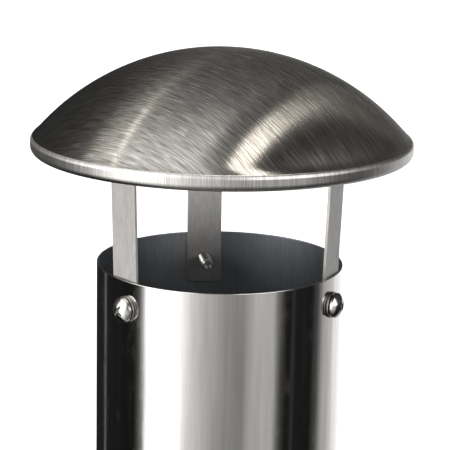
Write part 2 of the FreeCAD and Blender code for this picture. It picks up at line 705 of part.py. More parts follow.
def latch():
    """The spindle through the door, its catch inside, and the lever with a wooden grip outside."""
    tip = "(lever_front + hub_length / 2 + spindle_end)"
    place = ("latch_side", f"-{tip}", "latch_height")
    node("latch_spindle", rod("spindle", f"{tip} - catch_front", place, -FORWARD))
    catch = box(("latch_side - catch_width / 2", "-catch_front - catch_sheet",
                 "latch_height - catch_heel"), ("catch_width", "catch_sheet", "catch_length"))
    bore = rod("spindle", LAYER, ("latch_side", "-lever_front", "latch_height"), -FORWARD)
    node("latch_catch", cut(catch, bore))
    hub = rod("hub_radius", "hub_length", ("latch_side", "-lever_front - hub_length / 2",
                                           "latch_height"), -FORWARD)
    arm = rod("lever_radius", "lever_length", ("latch_side", "-lever_front", "latch_height"), ACROSS)
    hub_bore = rod("spindle", LAYER, ("latch_side", "-lever_front - 2 * hub_length",
                                      "latch_height"), -FORWARD)
    node("latch_lever", cut(fuse(hub, arm), hub_bore))
    end = "(latch_side + lever_length - grip_length + grip_end)"
    grip = turned([("lever_radius", "0"), ("grip_radius - grip_round", "0"),
                   ("grip_radius", "grip_round"), ("grip_radius", "grip_length - grip_round"),
                   ("grip_radius - grip_round", "grip_length"), ("lever_radius", "grip_length")],
                  {1: "grip_round", 3: "grip_round"})
    grip.Placement.Rotation = FreeCAD.Rotation(UP, ACROSS)
    node("lever_grip", bind(grip, x=end, y="-lever_front", z="latch_height"))
    node("latch_keeper", box(("doorway_half + keeper_inset", "plate - box_half",
                              "latch_height - keeper_height / 2"),
                             ("keeper_width", "keeper_sheet", "keeper_height")))


# ---------------------------------------------------------------- ash drawer and air slide


def ash_drawer():
    """A folded tray with a front, a pull, and the two angles that guide it."""
    start = "(plate - box_half)"
    tray = middle_box("drawer_half", start, "drawer_depth", "drawer_bottom", "drawer_top")
    hollow = middle_box("drawer_half - drawer_sheet", f"{start} + drawer_sheet",
                        "drawer_depth - 2 * drawer_sheet", "drawer_bottom + drawer_sheet",
                        "drawer_top + drawer_sheet")
    node("ash_tray", cut(tray, hollow, *air_slots(start)))
    front = middle_box("slot_half + front_lap", "-drawer_front", "front_sheet",
                       "box_bottom + 2 * plate", "front_top")
    back = middle_box("drawer_half - front_step", "front_sheet - drawer_front",
                      "drawer_front - front_sheet - box_half + plate",
                      "drawer_bottom + front_step", "drawer_top - front_step / 2")
    node("ash_drawer_front", cut(fuse(front, back), *air_slots("-drawer_front")))
    reach = "-drawer_front - pull_reach"
    lip = middle_box("pull_half", reach, "pull_reach", "pull_top - pull_sheet", "pull_top")
    curl = middle_box("pull_half", reach, "pull_sheet", "pull_top - pull_drop",
                      "pull_top - pull_sheet / 2")
    node("ash_drawer_pull", fuse(lip, curl))
    start, floor = "plate - box_half + runner_sheet", "box_bottom + plate"
    for side, low, wall in (("left", "-drawer_half - face_play - runner_width",
                             "-drawer_half - face_play - runner_sheet"),
                            ("right", "drawer_half + face_play", "drawer_half + face_play")):
        flat = box((low, start, floor), ("runner_width", "drawer_depth", "runner_sheet"))
        upright = box((wall, start, floor), ("runner_sheet", "drawer_depth", "runner_height"))
        node(f"drawer_runner_{side}", fuse(flat, upright))


def air_slots(face):
    """Tools for the row of upright air slots, through whatever starts at that distance."""
    tools = []
    for index in range(int(size("air_slots"))):
        low = f"air_pitch * ({index} - (air_slots - 1) / 2) - air_slot / 2"
        tools.append(box((low, f"{face} - air_slot", "air_low"),
                         ("air_slot", "2.5 * air_slot", "air_tall")))
    return tools


def air_slide():
    """A pierced plate that slides over the slots between two guides, and its knob."""
    low = "air_low - slide_lap"
    high = "air_low + air_tall + slide_lap"
    face = "-drawer_front - slide_sheet - face_play"
    plate = middle_box("slide_half", face, "slide_sheet", low, high)
    stem = ("slide_half - knob_inset", "-drawer_front - peg_root", "air_low + air_tall / 2")
    peg = rod("peg_radius", "peg_length", stem, FORWARD)
    node("air_slide", fuse(cut(plate, *air_slots(face)), peg))
    ease = "(knob_length / 5)"
    socket = "(peg_root + peg_length - knob_root + socket_play)"
    knob = turned([("peg_radius", "0"), ("2 * peg_radius", "0"), ("knob_radius", f"2 * {ease}"),
                   ("knob_radius", f"knob_length - {ease}"),
                   (f"knob_radius - {ease}", "knob_length"), ("0", "knob_length"),
                   ("0", socket), ("peg_radius", socket)], {3: ease})
    knob.Placement.Rotation = FreeCAD.Rotation(UP, FORWARD)
    node("air_slide_knob", bind(knob, x=stem[0], y="-drawer_front - knob_root", z=stem[2]))
    guides = []
    gap = "(guide_reach - guide_lip)"
    for level, lip in ((f"{low} - guide_height - face_play", f"{low} - guide_cover / 3"),
                       (f"{high} + face_play", f"{high} - 2 * guide_cover / 3")):
        root = middle_box("slide_half + guide_end", f"-drawer_front - {gap} - guide_lip / 6",
                          f"{gap} + guide_lip / 6", level, f"{level} + guide_height")
        edge = middle_box("slide_half + guide_end", "-drawer_front - guide_reach", "guide_lip",
                          lip, f"{lip} + guide_cover")
        guides.append(fuse(root, edge))
    node("air_slide_guides", group(*guides))


# ---------------------------------------------------------------- stand


def stand():
    """Four square legs, the base plate that also carries the logs, and its rubber feet."""
    half = "leg_width / 2"
    tall = "box_bottom - base_bottom - base_plate"
    feet = []
    for name, across, along in (("front_left", "-", "-"), ("front_right", "", "-"),
                                ("rear_left", "-", ""), ("rear_right", "", "")):
        low = (f"{across}leg_place - {half}", f"{along}leg_place - {half}",
               "base_bottom + base_plate")
        outer = box(low, ("leg_width", "leg_width", tall))
        inner = box((f"{low[0]} + leg_wall", f"{low[1]} + leg_wall", f"{low[2]} - leg_wall"),
                    ("leg_width - 2 * leg_wall", "leg_width - 2 * leg_wall",
                     f"{tall} + 2 * leg_wall"))
        node(f"leg_{name}", cut(outer, inner))
        foot = turned([("0", "0"), ("foot_radius - foot_taper", "0"), ("foot_radius", "base_bottom"),
                       ("0", "base_bottom")])
        feet.append(bind(foot, x=f"{across}foot_place", y=f"{along}foot_place"))
    node("base_feet", group(*feet))
    far, near = "base_half", "(base_half - base_corner)"
    body = doc.addObject("PartDesign::Body", "Body")
    sketch = new_sketch(body, "XY_Plane")
    corners = [(f"-{near}", f"-{far}"), (near, f"-{far}"), (far, f"-{near}"), (far, near),
               (near, far), (f"-{near}", far), (f"-{far}", near), (f"-{far}", f"-{near}")]
    outline(sketch, corners, dict.fromkeys((1, 3, 5, 7), "base_corner"))
    pad = body.newObject("PartDesign::Pad", "Pad")
    pad.Profile = sketch
    bind(pad, Length="base_plate")
    node("base_plate", bind(body, z="base_bottom"))


# ---------------------------------------------------------------- build, check and write


def check():
    """Stops on a failed object or a bad shape."""
    for item in doc.Objects:
        if set(item.State) & {"Invalid", "Error"}:
            raise RuntimeError(f"{item.Name} of {item.Label} failed: {item.State}")
    for piece in nodes:
        shape = piece.Shape
        if shape.isNull() or not shape.isValid() or not shape.Solids:
            raise RuntimeError(f"{piece.Label} has no valid solid")


def main():
    rain_cap()
    for side in BEARINGS:
        cap_strap(side)
        strap_screw(side)
    strap_washers()
    flue_pipes()
    flue_foot()
    hood()
    firebox()
    fire_grate()
    firebricks()
    door()
    hinge("lower", "hinge_low")
    hinge("upper", "hinge_high")
    latch()
    ash_drawer()
    air_slide()
    stand()
    doc.recompute()
    check()
    os.makedirs("parts", exist_ok=True)
    for piece in nodes:
        piece.Shape.exportStep(f"parts/{piece.Label}.step")
        print(f"{piece.Label}: {len(piece.Shape.Solids)} solids, {piece.Shape.Volume:.0f} mm3")


main()
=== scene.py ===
"""Looks of a free-standing garden stove: brushed rain cap, polished flue, sheet-steel firebox and stand.

Every length is in metres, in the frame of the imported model. The flue's axis is the Z axis, the front is
towards -Y and the floor is at zero.
"""

from __future__ import annotations

import logging
import math
from dataclasses import dataclass
from enum import Enum

import bmesh
import bpy
from mathutils import Matrix, Vector


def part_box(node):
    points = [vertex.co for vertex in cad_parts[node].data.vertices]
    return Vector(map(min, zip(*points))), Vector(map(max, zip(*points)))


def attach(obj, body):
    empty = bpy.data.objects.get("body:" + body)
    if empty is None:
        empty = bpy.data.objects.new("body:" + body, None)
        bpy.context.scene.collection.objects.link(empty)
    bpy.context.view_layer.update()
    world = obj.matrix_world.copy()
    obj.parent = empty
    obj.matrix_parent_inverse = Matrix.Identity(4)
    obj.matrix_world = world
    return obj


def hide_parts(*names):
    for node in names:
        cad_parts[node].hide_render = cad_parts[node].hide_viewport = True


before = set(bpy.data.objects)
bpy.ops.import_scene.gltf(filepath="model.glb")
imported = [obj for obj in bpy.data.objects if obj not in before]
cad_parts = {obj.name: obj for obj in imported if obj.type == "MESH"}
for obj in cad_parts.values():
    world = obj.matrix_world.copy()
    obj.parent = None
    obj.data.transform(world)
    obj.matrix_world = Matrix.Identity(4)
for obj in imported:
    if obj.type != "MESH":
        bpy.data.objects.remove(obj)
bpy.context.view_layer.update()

LOG = logging.getLogger("stove")
MM = 0.001
MERGE = 0.001 * MM
CAMERA_BEARING = math.radians(-8.3)


class Place(Enum):
    """The three places round the flue where the rain cap is held."""

    LEFT = "left"
    RIGHT = "right"
    REAR = "rear"

    def bearing(self, spread: float) -> float:
        """Bearing from straight ahead in radians, for front places this many degrees off it."""
        side = math.radians(spread)
        return {"left": -side, "right": side, "rear": math.pi}[self.value]


class Grain(Enum):
    """Axis that a finish's grain runs along."""

    X = 0
    Y = 1
    Z = 2
    ROUND = 3

    def scale(self, across: float, along: float) -> tuple[float, float, float]:
        """Mapping scale for grain with this spacing and length, both in metres."""
        fine, coarse = 1 / across, 1 / along
        if self is Grain.ROUND:
            return coarse, coarse, fine
        return tuple(coarse if axis == self.value else fine for axis in range(3))


def outward(bearing: float) -> Vector:
    """Level unit vector on a bearing from straight ahead, -Y, positive to the right."""
    return Vector((math.sin(bearing), -math.cos(bearing), 0.0))


def linear(code: str) -> tuple[float, float, float, float]:
    """Linear colour of an sRGB hex code.

    Args:
        code: Six hex digits.

    Returns:
        Linear red, green and blue, and an alpha of one.
    """
    channels = [int(code[place : place + 2], 16) / 255 for place in (0, 2, 4)]
    red, green, blue = (c / 12.92 if c <= 0.04045 else ((c + 0.055) / 1.055) ** 2.4 for c in channels)
    return red, green, blue, 1.0


# ------------------------------------------------------------------------------------ finishes


def add_node(tree: bpy.types.NodeTree, kind: str, settings: dict | None = None,
             links: dict | None = None, output: int | str = 0) -> bpy.types.NodeSocket | None:
    """Adds one shader node.

    Args:
        tree: The node tree.
        kind: Node type, without its ShaderNode prefix.
        settings: Attributes of the node; constants of its inputs, by an input's name or number; and
            under "stops" the grey levels of a colour ramp by position.
        links: Output sockets to join, by input name or number.
        output: Which output to hand back.

    Returns:
        That output, or nothing where the node has none.
    """
    node = tree.nodes.new(f"ShaderNode{kind}")
    for key, value in (settings or {}).items():
        if key == "stops":
            elements = node.color_ramp.elements
            elements.remove(elements[1])
            for number, (place, level) in enumerate(value.items()):
                element = elements.new(place) if number else elements[0]
                element.position = place
                element.color = (level, level, level, 1.0)
        elif isinstance(key, str) and hasattr(node, key):
            setattr(node, key, value)
        else:
            node.inputs[key].default_value = value
    for key, socket in (links or {}).items():
        tree.links.new(socket, node.inputs[key])
    return node.outputs[output] if node.outputs else None


def grain_noise(tree: bpy.types.NodeTree, place: bpy.types.NodeSocket, scale: tuple[float, float, float],
                detail: float = 2.0, low: float = 0.0, high: float = 1.0) -> bpy.types.NodeSocket:
    """Stretched noise whose usual range is spread between two levels.

    Args:
        tree: The node tree.
        place: Coordinates in metres.
        scale: Cells per metre along each axis.
        detail: Octaves of finer noise.
        low: Level of the darkest usual noise.
        high: Level of the lightest.

    Returns:
        The level.
    """
    grid = add_node(tree, "Mapping", {"Scale": scale}, {"Vector": place})
    noise = add_node(tree, "TexNoise", {"Scale": 1.0, "Detail": detail, "Roughness": 0.6},
                     {"Vector": grid})
    return add_node(tree, "MapRange", {"From Min": 0.3, "From Max": 0.7, "To Min": low, "To Max": high},
                    {"Value": noise})


@dataclass(frozen=True)
class Finish:
    """One real material with its surface, made into a Blender material once."""

    name: str

    def surface(self, tree: bpy.types.NodeTree) -> bpy.types.NodeSocket:
        """Builds the surface shader.

        Args:
            tree: The material's node tree.

        Returns:
            The shader's output.
        """
        raise NotImplementedError

    def material(self) -> bpy.types.Material:
        """The Blender material, built on first use."""
        made = bpy.data.materials.get(self.name)
        if made is None:
            made = bpy.data.materials.new(self.name)
            made.use_nodes = True
            made.node_tree.nodes.clear()
            add_node(made.node_tree, "OutputMaterial", links={"Surface": self.surface(made.node_tree)})
        return made


@dataclass(frozen=True)
class HandBrushedSteel(Finish):
    """Stainless sheet sanded by hand in strokes: reflections smear across the strokes.

    Real strokes are about 0.15 mm apart; they are drawn coarser than that, so that they show.
    """

    dark: str = "75716b"
    light: str = "cdcac4"
    roughness: float = 0.25
    anisotropy: float = 1.0
    stroke: float = 0.42 * MM
    length: float = 11 * MM
    depth: float = 0.005 * MM
    sway: float = 0.25 * MM
    sway_length: float = 20 * MM

    def surface(self, tree: bpy.types.NodeTree) -> bpy.types.NodeSocket:
        """Strokes run along the second axis of the brush_map coordinates, which are in metres."""
        place = add_node(tree, "UVMap", {"uv_map": "brush_map"})
        # The hand sways a little, so strokes wander by half a millimetre over a few centimetres.
        sway = grain_noise(tree, place, (0.8 / self.sway_length, 1 / self.sway_length, 1), 1.0,
                           -self.sway, self.sway)
        aside = add_node(tree, "CombineXYZ", links={"X": sway})
        place = add_node(tree, "VectorMath", {"operation": "ADD"}, {0: place, 1: aside})
        # Tone: mostly single strokes, partly bands of strokes from the same pass of the hand.
        fine = grain_noise(tree, place, (1 / self.stroke, 1 / self.length, 1), 2.0, -0.1, 0.85)
        broad = grain_noise(tree, place, (0.2 / self.stroke, 0.4 / self.length, 1), 3.0, 0.0, 0.25)
        tone = add_node(tree, "Math", {"operation": "ADD", "use_clamp": True}, {0: fine, 1: broad})
        steel = add_node(tree, "Mix", {"data_type": "RGBA", 6: linear(self.dark), 7: linear(self.light)},
                         {0: tone}, 2)
        # Single deeper scratches, each a few millimetres long, are painted near white along the strokes:
        # a painted glint.
        scratch = grain_noise(tree, place, (0.9 / self.stroke, 0.9 / self.length, 2), 0.0)
        painted_glint = add_node(tree, "MapRange", {"From Min": 0.95, "From Max": 1.1}, {"Value": scratch})
        color = add_node(tree, "Mix", {"data_type": "RGBA", 7: linear("ffffff")},
                         {0: painted_glint, 6: steel}, 2)
        normal = add_node(tree, "Bump", {"Distance": self.depth}, {"Height": tone})
        tangent = add_node(tree, "Tangent", {"direction_type": "UV_MAP", "uv_map": "brush_map"})
        return add_node(tree, "BsdfPrincipled",
                        {"Metallic": 1.0, "Anisotropic": self.anisotropy, "Roughness": self.roughness},
                        {"Base Color": color, "Normal": normal, "Tangent": tangent})


@dataclass(frozen=True)
class PolishedSteel(Finish):
    """Bright-rolled stainless sheet: a slightly wavy mirror with hairline scratches and dull patches."""

    dark: str = "c2bfbb"
    light: str = "d6d4d1"
    roughness: float = 0.06
    swell: float = 16 * MM
    swell_depth: float = 0.03 * MM
    smear: float = 4 * MM
    smear_length: float = 70 * MM
    scratch_cell: float = 9 * MM
    scratch_bend: float = 7 * MM

    def surface(self, tree: bpy.types.NodeTree) -> bpy.types.NodeSocket:
        """Swells and smears are long and upright; scratches are hairs that cross at random."""
        place = add_node(tree, "TexCoord", output="Object")
        wave = grain_noise(tree, place, Grain.Z.scale(self.swell, 9 * self.swell))
        smear = grain_noise(tree, place, Grain.Z.scale(self.smear, self.smear_length), 3.0)
        # Scratches are the bent edges of random cells. They are drawn wider than real hairlines.
        bend = add_node(tree, "TexNoise", {"Scale": 1 / self.scratch_cell, "Detail": 1.0},
                        {"Vector": place}, 1)
        aside = add_node(tree, "VectorMath",
                         {"operation": "MULTIPLY_ADD", 1: (self.scratch_bend,) * 3},
                         {0: bend, 2: place})
        cells = add_node(tree, "TexVoronoi",
                         {"feature": "DISTANCE_TO_EDGE", "Scale": 1 / self.scratch_cell},
                         {"Vector": aside})
        hair = add_node(tree, "MapRange", {"From Max": 0.018, "To Min": 1.0, "To Max": 0.0},
                        {"Value": cells})
        worn = grain_noise(tree, place, Grain.Z.scale(5 * MM, 5 * MM), 2.0, -0.5, 1.0)
        shown = add_node(tree, "Math", {"operation": "MULTIPLY", "use_clamp": True}, {0: hair, 1: worn})
        # Handling leaves dull patches about a centimetre across.
        dull = grain_noise(tree, place, Grain.Z.scale(8 * MM, 13 * MM), 4.0, -0.7, 0.7)
        shown = add_node(tree, "Math", {"operation": "MAXIMUM"}, {0: shown, 1: dull})
        base = add_node(tree, "MapRange", {"To Min": self.roughness, "To Max": self.roughness + 0.05},
                        {"Value": smear})
        rough = add_node(tree, "Math", {"operation": "MULTIPLY_ADD", 1: 0.15}, {0: shown, 2: base})
        color = add_node(tree, "Mix", {"data_type": "RGBA", 6: linear(self.dark), 7: linear(self.light)},
                         {0: smear}, 2)
        normal = add_node(tree, "Bump", {"Distance": self.swell_depth}, {"Height": wave})
        return add_node(tree, "BsdfPrincipled", {"Metallic": 1.0},
                        {"Base Color": color, "Roughness": rough, "Normal": normal})


@dataclass(frozen=True)
class RolledSteel(Finish):
    """Rolled or satin-ground stainless sheet: a soft sheen with fine grain lines and faint clouding.

    The grain is drawn several times coarser than real grinding, so that it shows.
    """

    dark: str = "a9a7a4"
    light: str = "cfcdca"
    roughness: float = 0.42
    grain: Grain = Grain.Z
    spacing: float = 0.6 * MM
    length: float = 14 * MM
    anisotropy: float = 0.0
    depth: float = 0.008 * MM

    def surface(self, tree: bpy.types.NodeTree) -> bpy.types.NodeSocket:
        """Grain lines and clouds both tint and roughen."""
        place = add_node(tree, "TexCoord", output="Object")
        lines = grain_noise(tree, place, self.grain.scale(self.spacing, self.length), 2.0, 0.0, 0.6)
        cloud = grain_noise(tree, place, self.grain.scale(6 * MM, 14 * MM), 3.0, 0.0, 0.4)
        level = add_node(tree, "Math", {"operation": "ADD", "use_clamp": True}, {0: lines, 1: cloud})
        color = add_node(tree, "Mix", {"data_type": "RGBA", 6: linear(self.dark), 7: linear(self.light)},
                         {0: level}, 2)
        rough = add_node(tree, "MapRange", {"To Min": self.roughness + 0.05,
                                            "To Max": self.roughness - 0.05}, {"Value": level})
        normal = add_node(tree, "Bump", {"Distance": self.depth}, {"Height": lines})
        links = {"Base Color": color, "Roughness": rough, "Normal": normal}
        if self.anisotropy:
            # The tangent is level, and highlights spread along it: level grain turns it upright.
            upright = add_node(tree, "VectorTransform",
                               {"convert_from": "OBJECT", "convert_to": "WORLD", "Vector": (0, 0, 1)})
            face = add_node(tree, "NewGeometry", output="Normal")
            links["Tangent"] = add_node(tree, "VectorMath", {"operation": "CROSS_PRODUCT"},
                                        {0: upright, 1: face})
        turn = 0.25 if self.grain is Grain.ROUND else 0.0
        return add_node(tree, "BsdfPrincipled", {"Metallic": 1.0, "Anisotropic": self.anisotropy,
                                                 "Anisotropic Rotation": turn}, links)


@dataclass(frozen=True)
class GrainySolid(Finish):
    """A surface of tiny grains: tint, roughness and relief all follow them."""

    dark: str = "202020"
    light: str = "303030"
    roughness: float = 0.7
    size: float = 2 * MM
    depth: float = 0.1 * MM
    metallic: float = 0.0

    def surface(self, tree: bpy.types.NodeTree) -> bpy.types.NodeSocket:
        """Fine grains sit on broad clouds of the same two tints."""
        place = add_node(tree, "TexCoord", output="Object")
        fine = grain_noise(tree, place, Grain.Z.scale(self.size, self.size), 4.0, 0.0, 0.7)
        broad = grain_noise(tree, place, Grain.Z.scale(14 * self.size, 14 * self.size), 2.0, 0.0, 0.3)
        level = add_node(tree, "Math", {"operation": "ADD", "use_clamp": True}, {0: fine, 1: broad})
        color = add_node(tree, "Mix", {"data_type": "RGBA", 6: linear(self.dark), 7: linear(self.light)},
                         {0: level}, 2)
        rough = add_node(tree, "MapRange", {"To Min": self.roughness - 0.08,
                                            "To Max": min(1.0, self.roughness + 0.08)}, {"Value": fine})
        normal = add_node(tree, "Bump", {"Distance": self.depth}, {"Height": fine})
        return add_node(tree, "BsdfPrincipled", {"Metallic": self.metallic},
                        {"Base Color": color, "Roughness": rough, "Normal": normal})


@dataclass(frozen=True)
class OiledBeech(Finish):
    """Turned and oiled beech: warm straw brown with short darker flecks and slow growth bands."""

    dark: str = "8f6238"
    light: str = "c79b66"
    grain: Grain = Grain.X
    ring: float = 2.5 * MM
    ring_length: float = 60 * MM
    fleck: float = 0.5 * MM
    fleck_length: float = 3 * MM
    depth: float = 0.03 * MM

    def surface(self, tree: bpy.types.NodeTree) -> bpy.types.NodeSocket:
        """Short flecks lie on the slow bands of the growth rings."""
        place = add_node(tree, "TexCoord", output="Object")
        band = grain_noise(tree, place, self.grain.scale(self.ring, self.ring_length), 2.0, 0.0, 0.7)
        fleck = grain_noise(tree, place, self.grain.scale(self.fleck, self.fleck_length), 1.0, 0.0, 0.4)
        level = add_node(tree, "Math", {"operation": "ADD", "use_clamp": True}, {0: band, 1: fleck})
        color = add_node(tree, "Mix", {"data_type": "RGBA", 6: linear(self.dark), 7: linear(self.light)},
                         {0: level}, 2)
        rough = add_node(tree, "MapRange", {"To Min": 0.52, "To Max": 0.38}, {"Value": level})
        normal = add_node(tree, "Bump", {"Distance": self.depth}, {"Height": fleck})
        return add_node(tree, "BsdfPrincipled", {"IOR": 1.5},
                        {"Base Color": color, "Roughness": rough, "Normal": normal})


@dataclass(frozen=True)
class KnittedRope(Finish):
    """Knitted glass-fibre rope: matt charcoal loops about 2 mm apart."""

    dark: str = "1b1b1c"
    light: str = "4a4a4c"
    loop: float = 2.2 * MM
    depth: float = 0.5 * MM
    slant: float = math.radians(35)

    def surface(self, tree: bpy.types.NodeTree) -> bpy.types.NodeSocket:
        """Two sets of slanted bands cross into loops."""
        place = add_node(tree, "TexCoord", output="Object")
        waves = []
        for slant in (self.slant, -self.slant):
            turned = add_node(tree, "Mapping", {"Rotation": (0.0, slant, 0.0)}, {"Vector": place})
            # Bands are 0.314 apart at a scale of one.
            waves.append(add_node(tree, "TexWave", {"Scale": 0.314 / self.loop, "Distortion": 1.2,
                                                    "bands_direction": "Z"}, {"Vector": turned}, 1))
        loops = add_node(tree, "Math", {"operation": "MAXIMUM"}, {0: waves[0], 1: waves[1]})
        color = add_node(tree, "Mix", {"data_type": "RGBA", 6: linear(self.dark), 7: linear(self.light)},
                         {0: loops}, 2)
        normal = add_node(tree, "Bump", {"Distance": self.depth}, {"Height": loops})
        return add_node(tree, "BsdfPrincipled", {"Roughness": 0.95},
                        {"Base Color": color, "Normal": normal})


@dataclass(frozen=True)
class StoveGlass(Finish):
    """Ceramic glass with a light film of smoke: clear and slightly amber, hazier in clouds."""

    tint: str = "e9dcc6"
    cloud: float = 60 * MM

    def surface(self, tree: bpy.types.NodeTree) -> bpy.types.NodeSocket:
        """Smoke only dulls the glass; it leaves the tint alone."""
        place = add_node(tree, "TexCoord", output="Object")
        smoke = grain_noise(tree, place, Grain.Z.scale(self.cloud, self.cloud), 4.0, 0.02, 0.16)
        return add_node(tree, "BsdfPrincipled",
                        {"Base Color": linear(self.tint), "Transmission Weight": 1.0, "IOR": 1.53},
                        {"Roughness": smoke})


# Sheet sanded by hand after spinning: grey strokes that break every reflection into bright threads.
BRUSHED = HandBrushedSteel("stainless_steel_hand_brushed")
# The same sheet on its rolled edge, with short upright streaks where the belt ran across it; drawn paler
# than the dome as painted light, for the rim that catches more light.
EDGE_BRUSHED = HandBrushedSteel("stainless_steel_edge_brushed_painted_paler", "b4b1ad", "e0deda", 0.28, 0.9,
                                0.6 * MM, 12 * MM, 0.004 * MM)
# Bright-rolled pipe: hard black and white upright bands.
POLISHED = PolishedSteel("stainless_steel_polished")
# The pipe's inside as it left the mill: dull and slightly blue.
MILL = RolledSteel("stainless_steel_mill_finish", "999da2", "b9bdc2", 0.40)
# Cut strip: pale and matt, with broken upright grain.
STRIP = RolledSteel("stainless_steel_rolled_strip", "c8c5c2", "e4e1de", 0.55, Grain.Z, 0.8 * MM,
                    5 * MM, 0.8)
# Satin-ground in a lathe: level grain, with an upright gleam.
SATIN = RolledSteel("stainless_steel_satin_level", "9c9a97", "c4c2bf", 0.34, Grain.ROUND, 0.7 * MM,
                    40 * MM, 0.5)
# Satin-ground upright sheet: level grain and an even grey sheen.
SATIN_SHEET = RolledSteel("stainless_steel_satin_sheet", "9c9a97", "c4c2bf", 0.38, Grain.ROUND,
                          0.7 * MM, 40 * MM)
# Satin-ground tube: the same sheen with the grain up and down.
SATIN_UPRIGHT = RolledSteel("stainless_steel_satin_upright", "9c9a97", "c4c2bf", 0.34, Grain.Z)
# Satin-ground level sheet: the grain runs from side to side.
SATIN_FLAT = RolledSteel("stainless_steel_satin_lengthwise", "9c9a97", "c4c2bf", 0.36, Grain.X,
                         0.7 * MM, 40 * MM)
# Cold-headed and tumbled screws: small hard highlights, very slightly uneven.
BRIGHT = GrainySolid("stainless_steel_tumbled", "c6c4c1", "dad8d4", 0.16, 0.7 * MM, 0.0015 * MM, 1.0)
# Rolled thread: softer highlights than on the head.
THREAD = GrainySolid("stainless_steel_rolled_thread", "d0cecb", "e4e2de", 0.34, 0.5 * MM,
                     0.001 * MM, 1.0)
# Blanked washers: greyer than the screws, with a soft edge.
BLANKED = GrainySolid("stainless_steel_blanked", "96948f", "b3b1ac", 0.34, 0.5 * MM, 0.002 * MM, 1.0)
# Spring steel lock washer, drawn near black and not metallic as painted shade: a dark line between two
# bright pieces.
SPRING = GrainySolid("spring_steel_painted_shade_black", "1a1918", "2b2a29", 0.55, 0.5 * MM, 0.002 * MM)
# Iron cast in sand: near black, with a pebbly surface.
IRON = GrainySolid("cast_iron_sand_cast", "202022", "343436", 0.62, 1.2 * MM, 0.12 * MM, 1.0)
# Pressed vermiculite: straw-coloured flakes, quite matt.
BRICK = GrainySolid("vermiculite_pressed", "a98f63", "d6c29a", 0.9, 2.2 * MM, 0.35 * MM)
# Moulded rubber: black with a faint sheen.
RUBBER = GrainySolid("rubber_moulded", "0f0f10", "1e1e1f", 0.75, 1.5 * MM, 0.04 * MM)
# Knitted rope: charcoal loops that catch no light.
ROPE = KnittedRope("glass_fibre_rope_knitted")
# Smoked ceramic glass: clear and warm, hazy in clouds.
GLASS = StoveGlass("ceramic_glass_smoked")
# Turned beech: warm straw brown, with the grain along the grip.
BEECH = OiledBeech("beech_turned_oiled")
# The same on the knob, with the grain from front to back.
BEECH_KNOB = OiledBeech("beech_turned_oiled_end_on", grain=Grain.Y)


# ------------------------------------------------------------------------------------ mesh helpers


class Outline:
    """A profile drawn in the upright plane through +X and then turned round the Z axis."""

    def __init__(self, radius: float, height: float) -> None:
        """Puts the pen down at a distance from the axis and a height."""
        self.mesh = bmesh.new()
        self.first = self.tip = self.mesh.verts.new((radius, 0.0, height))

    def line(self, radius: float, height: float) -> Outline:
        """Draws straight to a point.

        Args:
            radius: Its distance from the axis.
            height: Its height.

        Returns:
            The outline.
        """
        drawn = bmesh.ops.extrude_vert_indiv(self.mesh, verts=[self.tip])
        self.tip = drawn["verts"][0]
        self.tip.co = (radius, 0.0, height)
        return self

    def arc(self, radius: float, height: float, degrees: float, steps: int) -> Outline:
        """Draws an arc round a centre.

        Args:
            radius: The centre's distance from the axis.
            height: The centre's height.
            degrees: How far to turn, positive from outwards to upwards.
            steps: Number of spans.

        Returns:
            The outline.
        """
        drawn = bmesh.ops.spin(self.mesh, geom=[self.tip], cent=(radius, 0.0, height), axis=(0, -1, 0),
                               dvec=(0, 0, 0), angle=math.radians(degrees), steps=steps,
                               use_merge=False, use_duplicate=False)
        self.tip = drawn["geom_last"][0]
        return self

    def turned(self, steps: int, closed: bool = True) -> bmesh.types.BMesh:
        """Turns the profile once round the axis.

        Args:
            steps: Facets round the axis.
            closed: Draw back to the start first, for a profile that doesn't end on the axis.

        Returns:
            The turned mesh, facing outwards.
        """
        if closed:
            self.mesh.edges.new((self.tip, self.first))
        bmesh.ops.spin(self.mesh, geom=self.mesh.verts[:] + self.mesh.edges[:], cent=(0, 0, 0),
                       axis=(0, 0, 1), dvec=(0, 0, 0), angle=math.tau, steps=steps, use_merge=True,
                       use_duplicate=False)
        bmesh.ops.remove_doubles(self.mesh, verts=self.mesh.verts, dist=MERGE)
        bmesh.ops.recalc_face_normals(self.mesh, faces=self.mesh.faces)
        return self.mesh


def eased(node: str, radius: float = 0.5 * MM, segments: int = 2,
          sharp: float = 40.0) -> bmesh.types.BMesh:
    """Copy of a CAD node's mesh with its sharp edges broken.

    Args:
        node: The CAD node.
        radius: Width of the broken edge.
        segments: Facets across it.
        sharp: Edges that turn more than this many degrees are broken.

    Returns:
        The copy.
    """
    mesh = bmesh.new()
    mesh.from_mesh(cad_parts[node].data)
    bmesh.ops.remove_doubles(mesh, verts=mesh.verts, dist=2 * MERGE)
    bmesh.ops.dissolve_limit(mesh, angle_limit=math.radians(0.5), use_dissolve_boundaries=False,
                             verts=mesh.verts, edges=mesh.edges)
    edges = [edge for edge in mesh.edges if edge.calc_face_angle(0.0) > math.radians(sharp)]
    bmesh.ops.bevel(mesh, geom=edges, offset=radius, offset_type="OFFSET", affect="EDGES",
                    segments=segments, profile=0.5, material=-1, clamp_overlap=True)
    return mesh


